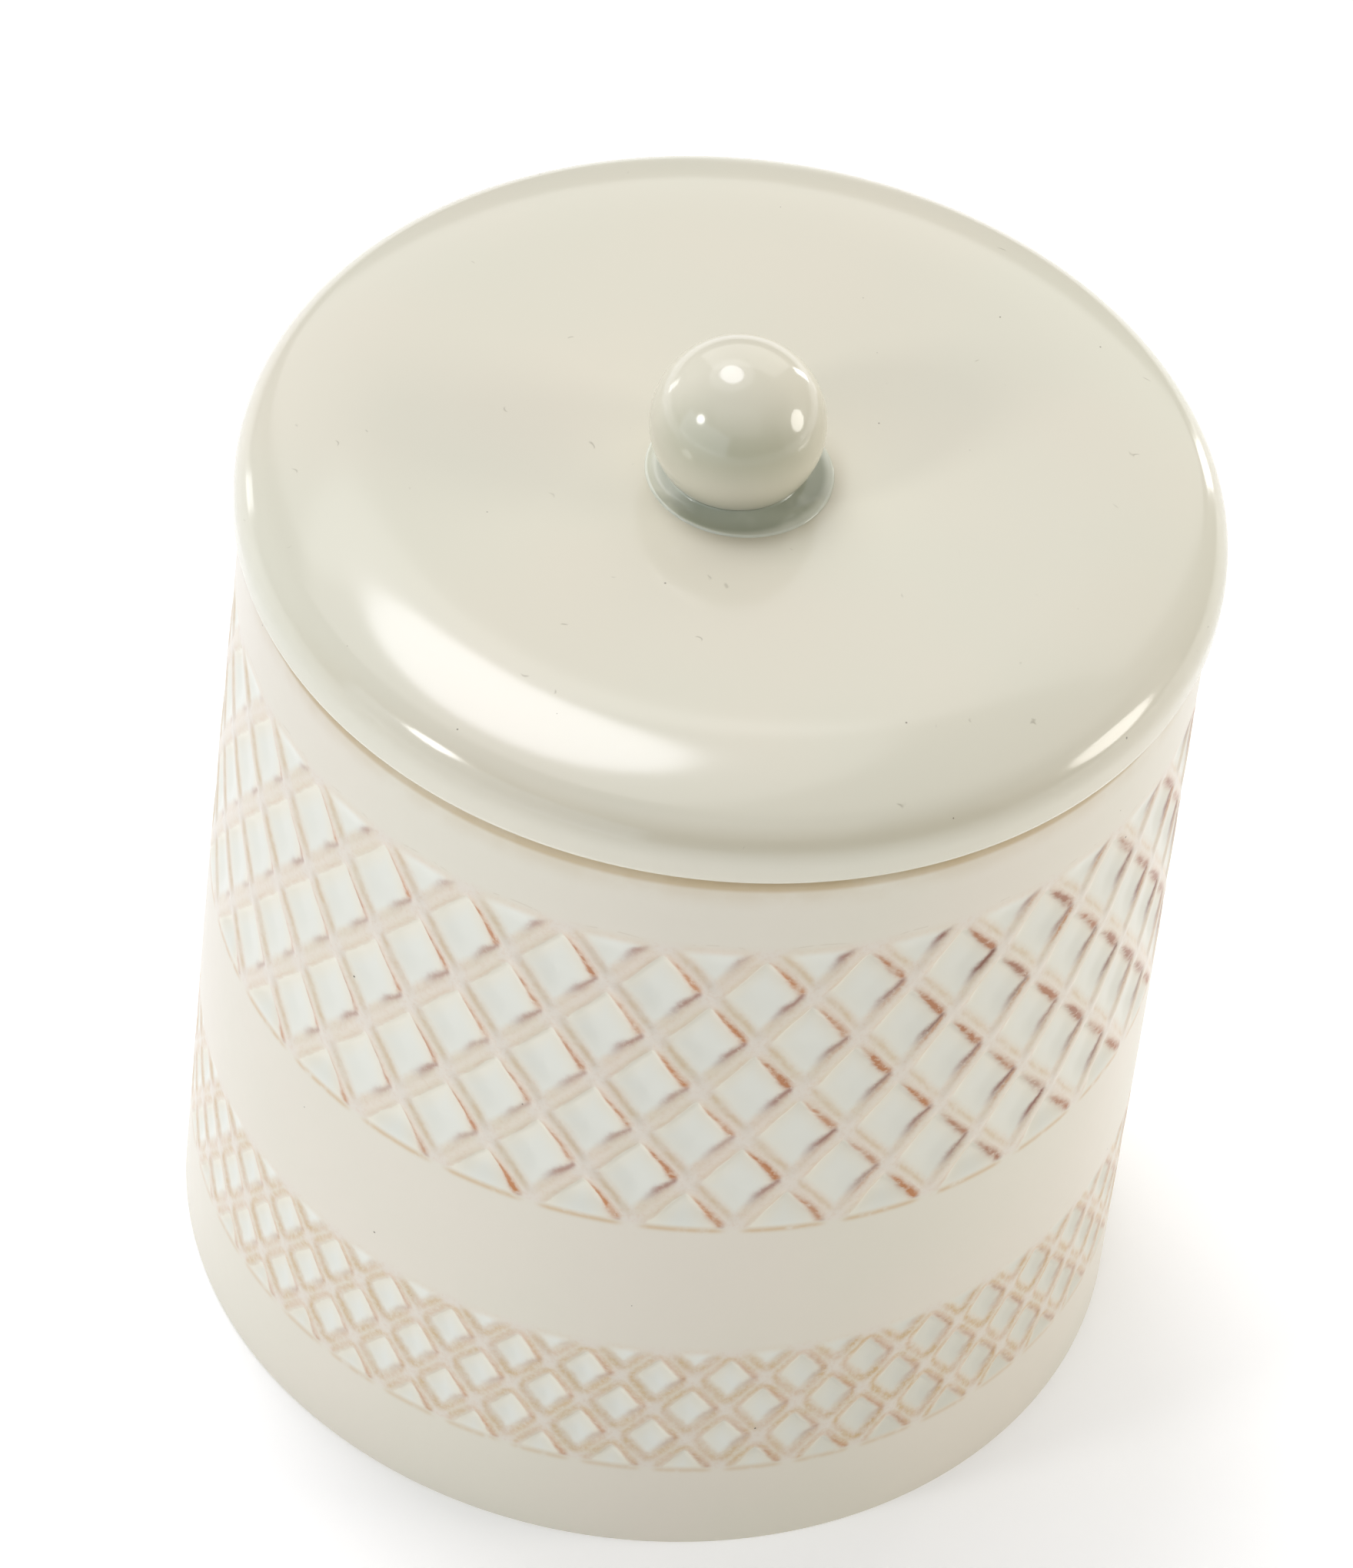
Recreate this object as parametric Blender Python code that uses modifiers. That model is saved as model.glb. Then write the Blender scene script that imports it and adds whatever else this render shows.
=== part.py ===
"""A glazed stoneware covered jar: a jar with two bands of pressed lattice, a lift-off lid and a ball knob.

Sizes are in metres. The foot stands on Z = 0, the axis is Z, and the front faces -Y.
"""

import math
from collections import namedtuple

import bmesh
import bpy
from mathutils import Matrix, Vector

# Bands of the jar's wall, from the rim down to the base
SHOULDER_HEIGHT = 0.0103
UPPER_LATTICE_HEIGHT = 0.0438
WAIST_HEIGHT = 0.0203
LOWER_LATTICE_HEIGHT = 0.0202
BASE_HEIGHT = 0.0132

# Jar wall, floor and foot
MOUTH_RADIUS = 0.0529
FOOT_SPREAD = 0.0010
WALL_SWELL = 0.00025
WALL_THICKNESS = 0.0050
RIM_FILLET = 0.0016
FLOOR_THICKNESS = 0.0065
FLOOR_FILLET = 0.0080
FOOT_CORNER = 0.0006
FOOT_RING_WIDTH = 0.0060
FOOT_RECESS_DEPTH = 0.0015
FOOT_RECESS_RUN = 0.0015

# Lattice cells of each band. A turn of zero has a cell of the second row facing the front
UPPER_COLUMNS = 30
UPPER_HALF_ROWS = 6
UPPER_TURN = math.radians(-1.3)
UPPER_RIB_WIDTH = 0.0018
UPPER_CELL_DEPTH = 0.00095
UPPER_CELL_DRAFT_RUN = 0.0006
LOWER_COLUMNS = 42
LOWER_HALF_ROWS = 4
LOWER_TURN = math.radians(-4.3)
LOWER_RIB_WIDTH = 0.0025
LOWER_CELL_DEPTH = 0.00075
LOWER_CELL_DRAFT_RUN = 0.0005

# Lid: its outer edge from the crest down to the lip, then its underside
LID_OVERHANG = 0.0011
LID_SEAT_GAP = 0.0003
LIP_RADIUS = 0.0012
EDGE_BAND_HEIGHT = 0.0015
EDGE_RADIUS = 0.0056
ROLL_RADIUS = 0.0324
ROLL_ANGLE = math.radians(22.8)
DISH_DEPTH = 0.0011
LID_PLATE_THICKNESS = 0.0070
FLANGE_CLEARANCE = 0.0010
FLANGE_THICKNESS = 0.0040
FLANGE_DEPTH = 0.0070
FLANGE_FILLET = 0.0010

# Knob: a ball that runs down to a splayed foot, which sits in a shallow seat of the lid
BALL_RADIUS = 0.00955
BALL_RISE = 0.0069
BALL_LOWER_ANGLE = math.radians(30)
NECK_RADIUS = 0.0078
NECK_RISE = 0.0017
KNOB_FOOT_RADIUS = 0.0096
KNOB_SEAT_DEPTH = 0.0006
KNOB_GAP = 0.0003
KNOB_FORWARD = 0.0009

# How finely the shapes are faceted, and how far a cutter stands out of what it cuts
BODY_SEGMENTS = 60
LID_SEGMENTS = 72
KNOB_SEGMENTS = 36
ARC_STEP = math.radians(23)
DISH_STEPS = 4
SHARP_ANGLE = math.radians(35)
MERGE_DISTANCE = 0.00001
CUT_OVERRUN = 0.0003

# Heights and radii that follow
LOWER_LATTICE_TOP = BASE_HEIGHT + LOWER_LATTICE_HEIGHT
UPPER_LATTICE_TOP = LOWER_LATTICE_TOP + WAIST_HEIGHT + UPPER_LATTICE_HEIGHT
BODY_HEIGHT = UPPER_LATTICE_TOP + SHOULDER_HEIGHT
FOOT_RADIUS = MOUTH_RADIUS + FOOT_SPREAD
WALL_LEAN = math.atan(FOOT_SPREAD / BODY_HEIGHT)
LID_RADIUS = MOUTH_RADIUS + LID_OVERHANG
LID_SEAT_HEIGHT = BODY_HEIGHT + LID_SEAT_GAP
EDGE_CENTRE_HEIGHT = LID_SEAT_HEIGHT + LIP_RADIUS + EDGE_BAND_HEIGHT
EDGE_CENTRE_RADIUS = LID_RADIUS - EDGE_RADIUS
ROLL_REACH = ROLL_RADIUS - EDGE_RADIUS
CREST_RADIUS = EDGE_CENTRE_RADIUS - ROLL_REACH * math.sin(ROLL_ANGLE)
CREST_HEIGHT = EDGE_CENTRE_HEIGHT + ROLL_RADIUS - ROLL_REACH * math.cos(ROLL_ANGLE)
LID_CENTRE_HEIGHT = CREST_HEIGHT - DISH_DEPTH

Lattice = namedtuple("Lattice", "top height columns half_rows turn rib_width cell_depth draft_run")

UPPER_LATTICE = Lattice(
    UPPER_LATTICE_TOP,
    UPPER_LATTICE_HEIGHT,
    UPPER_COLUMNS,
    UPPER_HALF_ROWS,
    UPPER_TURN,
    UPPER_RIB_WIDTH,
    UPPER_CELL_DEPTH,
    UPPER_CELL_DRAFT_RUN,
)
LOWER_LATTICE = Lattice(
    LOWER_LATTICE_TOP,
    LOWER_LATTICE_HEIGHT,
    LOWER_COLUMNS,
    LOWER_HALF_ROWS,
    LOWER_TURN,
    LOWER_RIB_WIDTH,
    LOWER_CELL_DEPTH,
    LOWER_CELL_DRAFT_RUN,
)


def clear_scene():
    for obj in list(bpy.data.objects):
        bpy.data.objects.remove(obj)


def new_collection(name, shown):
    collection = bpy.data.collections.new(name)
    bpy.context.scene.collection.children.link(collection)
    collection.hide_render = not shown
    return collection


def ceramic(name, colour, roughness):
    """A glazed ceramic finish of one colour."""
    material = bpy.data.materials.new(name)
    material.use_nodes = True
    shader = material.node_tree.nodes["Principled BSDF"]
    shader.inputs["Base Color"].default_value = (*colour, 1)
    shader.inputs["Roughness"].default_value = roughness
    shader.inputs["Metallic"].default_value = 0
    material.diffuse_color = (*colour, 1)
    return material


def jar_glaze():
    return ceramic("jar_glaze", (0.80, 0.76, 0.69), 0.32)


def lid_glaze():
    return ceramic("lid_glaze", (0.78, 0.75, 0.65), 0.12)


def knob_glaze():
    return ceramic("knob_glaze", (0.74, 0.72, 0.62), 0.10)


def arc(centre, radius, start, end):
    """Points round centre from one angle to another, measured from the outward direction."""
    steps = max(1, math.ceil(abs(end - start) / ARC_STEP))
    angles = [start + (end - start) * step / steps for step in range(steps + 1)]
    return [centre + radius * Vector((math.cos(angle), math.sin(angle))) for angle in angles]


def filleted(corners):
    """Points along an outline of (radius, height, fillet) corners, with an arc at each fillet."""
    points = []
    for index, (radius, height, fillet) in enumerate(corners):
        here = Vector((radius, height))
        if fillet == 0:
            points.append(here)
            continue
        back = (Vector(corners[index - 1][:2]) - here).normalized()
        ahead = (Vector(corners[index + 1][:2]) - here).normalized()
        half = back.angle(ahead) / 2
        centre = here + (back + ahead).normalized() * fillet / math.sin(half)
        first = here + back * fillet / math.tan(half) - centre
        last = here + ahead * fillet / math.tan(half) - centre
        start = math.atan2(first.y, first.x)
        points += arc(centre, fillet, start, start - first.angle_signed(last))
    return points


def turned(name, points, segments, collection):
    """A solid of revolution about Z, whose outline starts and ends on the axis."""
    mesh = bpy.data.meshes.new(name)
    vertices = [(point.x, 0, point.y) for point in points]
    mesh.from_pydata(vertices, [(i, i + 1) for i in range(len(points) - 1)], [])
    obj = bpy.data.objects.new(name, mesh)
    collection.objects.link(obj)
    screw = obj.modifiers.new("turn", "SCREW")
    screw.axis = "Z"
    screw.steps = segments
    screw.render_steps = segments
    screw.use_merge_vertices = True
    screw.merge_threshold = MERGE_DISTANCE
    screw.use_smooth_shade = True
    return obj


def cutter_from(name, shapes, collection):
    """A wire-drawn helper object that takes the shapes and is left out of renders."""
    mesh = bpy.data.meshes.new(name)
    shapes.to_mesh(mesh)
    shapes.free()
    obj = bpy.data.objects.new(name, mesh)
    collection.objects.link(obj)
    obj.hide_render = True
    obj.display_type = "WIRE"
    return obj


def cut(obj, cutter):
    boolean = obj.modifiers.new(cutter.name, "BOOLEAN")
    boolean.operation = "DIFFERENCE"
    boolean.solver = "EXACT"
    boolean.object = cutter


def settle(obj, material):
    """Turns the object's modifiers into its own mesh, shaded smooth but for its sharp edges."""
    bpy.context.view_layer.update()
    graph = bpy.context.evaluated_depsgraph_get()
    mesh = bpy.data.meshes.new_from_object(obj.evaluated_get(graph))
    obj.modifiers.clear()
    obj.data = mesh
    mesh.name = obj.name
    mesh.shade_smooth()
    mesh.set_sharp_from_angle(angle=SHARP_ANGLE)
    mesh.materials.clear()
    mesh.materials.append(material)


def wall_radius(height):
    """Outer radius of the jar's wall: a straight taper with a slight swell half way up."""
    share = height / BODY_HEIGHT
    return FOOT_RADIUS - FOOT_SPREAD * share + WALL_SWELL * math.sin(math.pi * share)


def lattice_borders():
    """Heights of the borders of both lattice bands, from the top down."""
    borders = []
    for band in (UPPER_LATTICE, LOWER_LATTICE):
        borders += [band.top, band.top - band.height]
    return borders


def body_profile():
    """From the middle of the floor up the inside, over the rim, down the wall and under the foot."""
    floor_height = FOOT_RECESS_DEPTH + FLOOR_THICKNESS
    ring_inner_radius = FOOT_RADIUS - FOOT_RING_WIDTH
    return filleted(
        [
            (0, floor_height, 0),
            (wall_radius(floor_height) - WALL_THICKNESS, floor_height, FLOOR_FILLET),
            (MOUTH_RADIUS - WALL_THICKNESS, BODY_HEIGHT, RIM_FILLET),
            (MOUTH_RADIUS, BODY_HEIGHT, RIM_FILLET),
            *[(wall_radius(height), height, 0) for height in lattice_borders()],
            (FOOT_RADIUS, 0, FOOT_CORNER),
            (ring_inner_radius, 0, 0),
            (ring_inner_radius - FOOT_RECESS_RUN, FOOT_RECESS_DEPTH, 0),
            (0, FOOT_RECESS_DEPTH, 0),
        ]
    )


def add_cell(shapes, band, height, angle):
    """A four-sided tapered cell of the lattice, sunk square into the wall at this height and angle."""
    radius = wall_radius(height)
    half_width = radius * math.pi / band.columns
    half_height = band.height / band.half_rows
    apothem = half_width * half_height / math.hypot(half_width, half_height)
    draft = band.draft_run / band.cell_depth
    floor_share = 1 - (band.rib_width / 2 + band.draft_run) / apothem
    outer_share = 1 - (band.rib_width / 2 - CUT_OVERRUN * draft) / apothem
    on_wall = Matrix.Rotation(angle, 4, "Z") @ Matrix.Translation((0, -radius, height))
    outward = Matrix.Rotation(math.pi / 2 - WALL_LEAN, 4, "X")
    place = on_wall @ outward @ Matrix.Translation((0, 0, (CUT_OVERRUN - band.cell_depth) / 2))
    bmesh.ops.create_cone(
        shapes,
        cap_ends=True,
        segments=4,
        radius1=floor_share,
        radius2=outer_share,
        depth=band.cell_depth + CUT_OVERRUN,
        matrix=place @ Matrix.Diagonal((half_width, half_height, 1, 1)),
    )


def trim_at(shapes, height, side):
    """Cuts the shapes off level at a height, keeping what lies below it for side 1, above it for -1."""
    bmesh.ops.bisect_plane(
        shapes,
        geom=[*shapes.verts, *shapes.edges, *shapes.faces],
        plane_co=(0, 0, height),
        plane_no=(0, 0, side),
        clear_outer=True,
    )
    bmesh.ops.holes_fill(shapes, edges=[edge for edge in shapes.edges if edge.is_boundary])


def lattice_cutter(name, band, collection):
    """Staggered rows of cells round the wall. A row on each border keeps its half inside the band."""
    shapes = bmesh.new()
    column_angle = math.tau / band.columns
    for row in range(band.half_rows + 1):
        stagger_share = 0 if row % 2 else 1 / 2
        for column in range(band.columns):
            angle = band.turn + (column + stagger_share) * column_angle
            add_cell(shapes, band, band.top - band.height * row / band.half_rows, angle)
    trim_at(shapes, band.top, 1)
    trim_at(shapes, band.top - band.height, -1)
    bmesh.ops.recalc_face_normals(shapes, faces=shapes.faces)
    return cutter_from(name, shapes, collection)


def make_jar_body(parts, cutters):
    body = turned("jar_body", body_profile(), BODY_SEGMENTS, parts)
    body.rotation_euler.z = UPPER_TURN
    cut(body, lattice_cutter("upper_lattice", UPPER_LATTICE, cutters))
    cut(body, lattice_cutter("lower_lattice", LOWER_LATTICE, cutters))
    settle(body, jar_glaze())


def lid_profile():
    """From the middle of the dished top over the crest, round the edge, and back along the underside."""
    dish = []
    for step in range(DISH_STEPS):
        share = step / DISH_STEPS
        sink = DISH_DEPTH * (1 + math.cos(math.pi * share)) / 2
        dish.append(Vector((CREST_RADIUS * share, CREST_HEIGHT - sink)))
    roll_centre = Vector((CREST_RADIUS, CREST_HEIGHT - ROLL_RADIUS))
    edge_centre = Vector((EDGE_CENTRE_RADIUS, EDGE_CENTRE_HEIGHT))
    lip_centre = Vector((LID_RADIUS - LIP_RADIUS, LID_SEAT_HEIGHT + LIP_RADIUS))
    roll = arc(roll_centre, ROLL_RADIUS, math.pi / 2, math.pi / 2 - ROLL_ANGLE)
    edge = arc(edge_centre, EDGE_RADIUS, math.pi / 2 - ROLL_ANGLE, 0)
    lip = arc(lip_centre, LIP_RADIUS, 0, -math.pi / 2)
    flange_outer = MOUTH_RADIUS - WALL_THICKNESS - FLANGE_CLEARANCE
    flange_inner = flange_outer - FLANGE_THICKNESS
    flange_foot = LID_SEAT_HEIGHT - FLANGE_DEPTH
    ceiling = LID_CENTRE_HEIGHT - LID_PLATE_THICKNESS
    underside = filleted(
        [
            (flange_outer, LID_SEAT_HEIGHT, 0),
            (flange_outer, flange_foot, FLANGE_FILLET),
            (flange_inner, flange_foot, FLANGE_FILLET),
            (flange_inner, ceiling, FLANGE_FILLET),
            (0, ceiling, 0),
        ]
    )
    return [*dish, *roll, *edge[1:], *lip, *underside]


def knob_seat_cutter(collection):
    """A disc that sinks the knob's seat into the lid, with a running gap round the knob's foot."""
    floor_height = LID_CENTRE_HEIGHT - KNOB_SEAT_DEPTH - KNOB_GAP
    top_height = CREST_HEIGHT + CUT_OVERRUN
    shapes = bmesh.new()
    bmesh.ops.create_cone(
        shapes,
        cap_ends=True,
        segments=KNOB_SEGMENTS,
        radius1=KNOB_FOOT_RADIUS + KNOB_GAP,
        radius2=KNOB_FOOT_RADIUS + KNOB_GAP,
        depth=top_height - floor_height,
        matrix=Matrix.Translation((0, -KNOB_FORWARD, (top_height + floor_height) / 2)),
    )
    return cutter_from("knob_seat", shapes, collection)


def make_lid(parts, cutters):
    lid = turned("lid", lid_profile(), LID_SEGMENTS, parts)
    cut(lid, knob_seat_cutter(cutters))
    settle(lid, lid_glaze())
    return lid


def knob_profile():
    """From the top of the ball down to its neck, out to the foot's edge and in under it."""
    ball = arc(Vector((0, BALL_RISE)), BALL_RADIUS, math.pi / 2, -BALL_LOWER_ANGLE)
    return [
        *ball,
        Vector((NECK_RADIUS, NECK_RISE)),
        Vector((KNOB_FOOT_RADIUS, 0)),
        Vector((KNOB_FOOT_RADIUS, -KNOB_SEAT_DEPTH)),
        Vector((0, -KNOB_SEAT_DEPTH)),
    ]


def make_knob(parts, lid):
    """The knob stands a little forward of the lid's axis, as it was luted on by hand."""
    knob = turned("lid_knob", knob_profile(), KNOB_SEGMENTS, parts)
    settle(knob, knob_glaze())
    knob.location = (0, -KNOB_FORWARD, LID_CENTRE_HEIGHT)
    knob.parent = lid


def main():
    clear_scene()
    parts = new_collection("covered_jar", True)
    cutters = new_collection("cutters", False)
    make_jar_body(parts, cutters)
    lid = make_lid(parts, cutters)
    make_knob(parts, lid)


main()
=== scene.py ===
"""Looks of the covered jar: turned and pressed meshes in glazed finishes, in soft light on a pale floor.

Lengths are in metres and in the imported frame: +Z up, the front faces -Y. Angles round the jar start at the
front and grow towards +X.
"""

import math
from collections import namedtuple

import bpy
import numpy as np
from mathutils import Matrix, Vector


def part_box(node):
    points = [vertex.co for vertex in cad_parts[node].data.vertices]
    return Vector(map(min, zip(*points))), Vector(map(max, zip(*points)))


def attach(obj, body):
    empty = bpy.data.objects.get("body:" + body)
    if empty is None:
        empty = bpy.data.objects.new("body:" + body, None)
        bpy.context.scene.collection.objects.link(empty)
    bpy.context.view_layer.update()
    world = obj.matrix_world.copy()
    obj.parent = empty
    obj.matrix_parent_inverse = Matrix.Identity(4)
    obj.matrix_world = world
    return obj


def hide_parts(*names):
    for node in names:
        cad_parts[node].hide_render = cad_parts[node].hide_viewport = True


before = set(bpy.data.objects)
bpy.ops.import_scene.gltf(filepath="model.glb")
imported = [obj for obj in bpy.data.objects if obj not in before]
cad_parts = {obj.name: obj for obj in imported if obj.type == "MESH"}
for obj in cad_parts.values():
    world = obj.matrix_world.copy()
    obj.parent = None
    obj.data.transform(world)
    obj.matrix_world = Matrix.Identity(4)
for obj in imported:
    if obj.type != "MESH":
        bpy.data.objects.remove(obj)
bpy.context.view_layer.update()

# Jar wall and floor, as in the CAD model
JAR_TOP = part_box("jar_body")[1].z
LID_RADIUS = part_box("lid")[1].x
LID_OVERHANG = 0.0011
MOUTH_RADIUS = LID_RADIUS - LID_OVERHANG
FOOT_SPREAD = 0.0010
FOOT_RADIUS = MOUTH_RADIUS + FOOT_SPREAD
WALL_SWELL = 0.00025
WALL_THICKNESS = 0.0050
RIM_FILLET = 0.0016
FLOOR_THICKNESS = 0.0065
FLOOR_FILLET = 0.0080
FOOT_CORNER = 0.0006
FOOT_RING_WIDTH = 0.0060
FOOT_RING_FILLET = 0.0005
FOOT_RECESS_DEPTH = 0.0015
FOOT_RECESS_RUN = 0.0015

# Lattice bands, and the relief of their pressed cells: the width of a rib, how deep a cell is, how far its
# upper sides run down and its lower ones fade, and how much a rib is rounded
Lattice = namedtuple("Lattice", "top height columns half_rows turn rib depth run fade crown")
UPPER = Lattice(0.0975, 0.0438, 30, 6, math.radians(-1.3), 0.0019, 0.00045, 0.0006, 0.0032, 0.00020)
LOWER = Lattice(0.0334, 0.0202, 42, 4, math.radians(-4.3), 0.0022, 0.00032, 0.0005, 0.0021, 0.00016)
COLUMN_STEPS = 840
UPPER_ROW_STEPS = 14
LOWER_ROW_STEPS = 10
PLAIN_ROW_HEIGHT = 0.0010
JAR_POINT_GAP = 0.004

# Lid, as in the CAD model
SEAT_GAP = 0.0003
LIP_RADIUS = 0.0012
EDGE_BAND_HEIGHT = 0.0015
EDGE_RADIUS = 0.0056
ROLL_RADIUS = 0.0324
ROLL_ANGLE = math.radians(22.8)
DISH_DEPTH = 0.0011
LID_PLATE_THICKNESS = 0.0070
FLANGE_CLEARANCE = 0.0010
FLANGE_THICKNESS = 0.0040
FLANGE_DEPTH = 0.0070
FLANGE_FILLET = 0.0010
LID_STEPS = 288
DISH_STEPS = 48
LID_POINT_GAP = 0.0015

# Knob, with the CAD model's ball, and the ring of glaze round its foot
KNOB_FORWARD = 0.0009
KNOB_LEFT = 0.0005
BALL_RADIUS = 0.00955
BALL_RISE = 0.0069
BALL_LOWER_ANGLE = math.radians(38)
NECK_RADIUS = 0.0075
NECK_RISE = 0.0010
GLAZE_RING_RADIUS = 0.0100
GLAZE_RING_SHIFT = 0.0009
GLAZE_RING_TOWARD = math.radians(62)
GLAZE_RING_LIP = 0.00024
GLAZE_RING_HEIGHT = 0.00020
GLAZE_RING_DIP = 0.00025
GLAZE_RING_STEPS = 14
KNOB_SINK = 0.0005
KNOB_STEPS = 160
KNOB_POINT_GAP = 0.0008

ARC_STEP = math.radians(5)

# Camera, as fitted to the photograph, whose whole frame is 1760 by 2040 pixels
CAMERA_PLACE = Vector((0, -0.68486, 0.76854))
CAMERA_RIGHT = Vector((0.99197657, 0.09203132, 0.08667598))
CAMERA_DOWN = Vector((0.12640079, -0.70949055, -0.69328637))
CAMERA_FORWARD = Vector((-0.00230827, 0.69867975, -0.71543083))
CAMERA_LENS_MM = 201.393
SENSOR_MM = 36


def smooth(value, low, high):
    """0 below low, 1 above high, and a smooth rise between."""
    share = np.clip((value - low) / (high - low), 0, 1)
    return share * share * (3 - 2 * share)


def arc(centre, radius, start, end):
    """(radius, height) points round centre from one angle to another, from the outward direction."""
    steps = max(1, math.ceil(abs(end - start) / ARC_STEP))
    angles = np.linspace(start, end, steps + 1)
    return [(centre[0] + radius * math.cos(a), centre[1] + radius * math.sin(a)) for a in angles]


def filleted(corners):
    """Points along an outline of (radius, height, fillet) corners, with an arc at each fillet."""
    points = []
    for index, (radius, height, fillet) in enumerate(corners):
        here = Vector((radius, height))
        if fillet == 0:
            points.append(tuple(here))
            continue
        back = (Vector(corners[index - 1][:2]) - here).normalized()
        ahead = (Vector(corners[index + 1][:2]) - here).normalized()
        half = back.angle(ahead) / 2
        centre = here + (back + ahead).normalized() * fillet / math.sin(half)
        first = here + back * fillet / math.tan(half) - centre
        last = here + ahead * fillet / math.tan(half) - centre
        start = math.atan2(first.y, first.x)
        points += arc(centre, fillet, start, start - first.angle_signed(last))
    return points


def ring_mesh(name, radii, heights, angles, slants=None):
    """A closed surface from rings of points. The first and last ring shrink to one point each.

    radii and heights hold a row for each ring and a column for each angle. slants says which way each
    four-sided patch is split: True where the split runs up to the right.
    """
    rows, columns = radii.shape
    x = radii * np.sin(angles)
    y = -radii * np.cos(angles)
    points = np.stack([x, y, heights], axis=-1)[1:-1].reshape(-1, 3)
    poles = np.array([[0, 0, heights[0, 0]], [0, 0, heights[-1, 0]]])
    index = np.arange((rows - 2) * columns).reshape(rows - 2, columns)
    right = np.roll(index, -1, axis=1)
    a, b, c, d = index[:-1], right[:-1], right[1:], index[1:]
    if slants is None:
        slants = np.zeros(a.shape, bool)
    up = slants[..., None, None]
    split_up = np.stack([np.stack([a, d, b], -1), np.stack([b, d, c], -1)], -2)
    split_down = np.stack([np.stack([a, d, c], -1), np.stack([a, c, b], -1)], -2)
    sides = np.where(up, split_up, split_down).reshape(-1, 3)
    top, bottom = len(points), len(points) + 1
    first = np.stack([index[0], right[0], np.full(columns, top)], -1)
    last = np.stack([right[-1], index[-1], np.full(columns, bottom)], -1)
    faces = np.concatenate([sides, first, last])
    mesh = bpy.data.meshes.new(name)
    mesh.from_pydata(np.concatenate([points, poles]).tolist(), [], faces.tolist())
    mesh.shade_smooth()
    obj = bpy.data.objects.new(name, mesh)
    bpy.context.scene.collection.objects.link(obj)
    return obj


def angles_round(steps, first=0.0):
    return first + math.tau * np.arange(steps) / steps


def turned(outline, columns):
    """The radii and the heights of an outline's points, the same at every angle."""
    radii, heights = np.array(outline).T
    return [np.repeat(values[:, None], columns, axis=1) for values in (radii, heights)]


def wall_radius(height):
    """Outer radius of the jar's wall, which tapers up to the mouth and swells slightly half way up."""
    share = height / JAR_TOP
    return FOOT_RADIUS - FOOT_SPREAD * share + WALL_SWELL * np.sin(math.pi * share)


# Slow unevenness of the ribs. Each lattice direction has its own waves, and each wave its count round the
# jar, its turn in radians per metre of height and two phases
RIB_DRIFT_SHARE = 0.006
RIB_WAVE_COUNT = 3
WAVES_ROUND = (9, 47)
WAVES_UP = (200, 900)


def rib_waves(random):
    """The waves of one lattice direction."""
    waves = []
    for _ in range(RIB_WAVE_COUNT):
        round_count = int(random.integers(*WAVES_ROUND))
        per_metre = random.uniform(*WAVES_UP)
        waves.append((round_count, per_metre, *random.uniform(0, math.tau, 2)))
    return waves


RIB_RANDOM = np.random.default_rng(7)
RIB_WAVES = [rib_waves(RIB_RANDOM), rib_waves(RIB_RANDOM)]


def drift(waves, angle, height, cosine):
    """How far a rib strays from its straight line, as a share of the pitch."""
    total = 0
    for round_count, per_metre, first, second in waves:
        total = total + cosine(angle * round_count + first) * cosine(height * per_metre + second)
    return total * RIB_DRIFT_SHARE


def rib_pitch(band):
    """The distance between neighbouring parallel ribs."""
    half_width = wall_radius(band.top - band.height / 2) * math.pi / band.columns
    half_height = band.height / band.half_rows
    return float(2 * half_width * half_height / math.hypot(half_width, half_height))


def lattice_place(band, angle, height, cosine):
    """A point's two lattice coordinates, whole on ribs: those that rise to the right, then to the left."""
    across = (angle - band.turn) * (band.columns / math.pi)
    down = (band.top - height) * (band.half_rows / band.height)
    rising = (across + down) * 0.5 + drift(RIB_WAVES[0], angle, height, cosine)
    falling = (across - down) * 0.5 + drift(RIB_WAVES[1], angle, height, cosine)
    return rising, falling


def relief(band, angle, height):
    """How far the wall is pressed in: steep at the upper sides of a cell, gentle at the lower ones."""
    rising, falling = lattice_place(band, angle, height, np.cos)
    low = rising - np.floor(rising) - 0.5
    high = falling - np.floor(falling) - 0.5
    pitch = rib_pitch(band)
    gaps = [pitch * (0.5 + side) - band.rib / 2 for side in (low, high, -low, -high)]
    upper_left, lower_left, lower_right, upper_right = gaps
    pressed = smooth(upper_left, 0, band.run) * smooth(upper_right, 0, band.run)
    pressed = pressed * smooth(lower_left, 0, band.fade) * smooth(lower_right, 0, band.fade)
    rounding = np.clip(1 + np.minimum.reduce(gaps) / (band.rib / 2), 0, 1) ** 2
    below_top = smooth(band.top - height, 0, band.fade)
    above_bottom = smooth(height - (band.top - band.height), 0, band.fade)
    return (band.depth * pressed + band.crown * rounding) * below_top * above_bottom


def wall_rows():
    """Heights of the outer wall's rings, from the rim down to the foot, fine where the lattices lie."""
    stops = [
        (JAR_TOP - RIM_FILLET, None),
        (UPPER.top, None),
        (UPPER.top - UPPER.height, UPPER.half_rows * UPPER_ROW_STEPS),
        (LOWER.top, None),
        (LOWER.top - LOWER.height, LOWER.half_rows * LOWER_ROW_STEPS),
        (FOOT_CORNER, None),
    ]
    rows = [stops[0][0]]
    for (high, _), (low, steps) in zip(stops, stops[1:]):
        steps = steps or math.ceil((high - low) / PLAIN_ROW_HEIGHT)
        rows += list(np.linspace(high, low, steps + 1)[1:])
    return np.array(rows)


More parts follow.
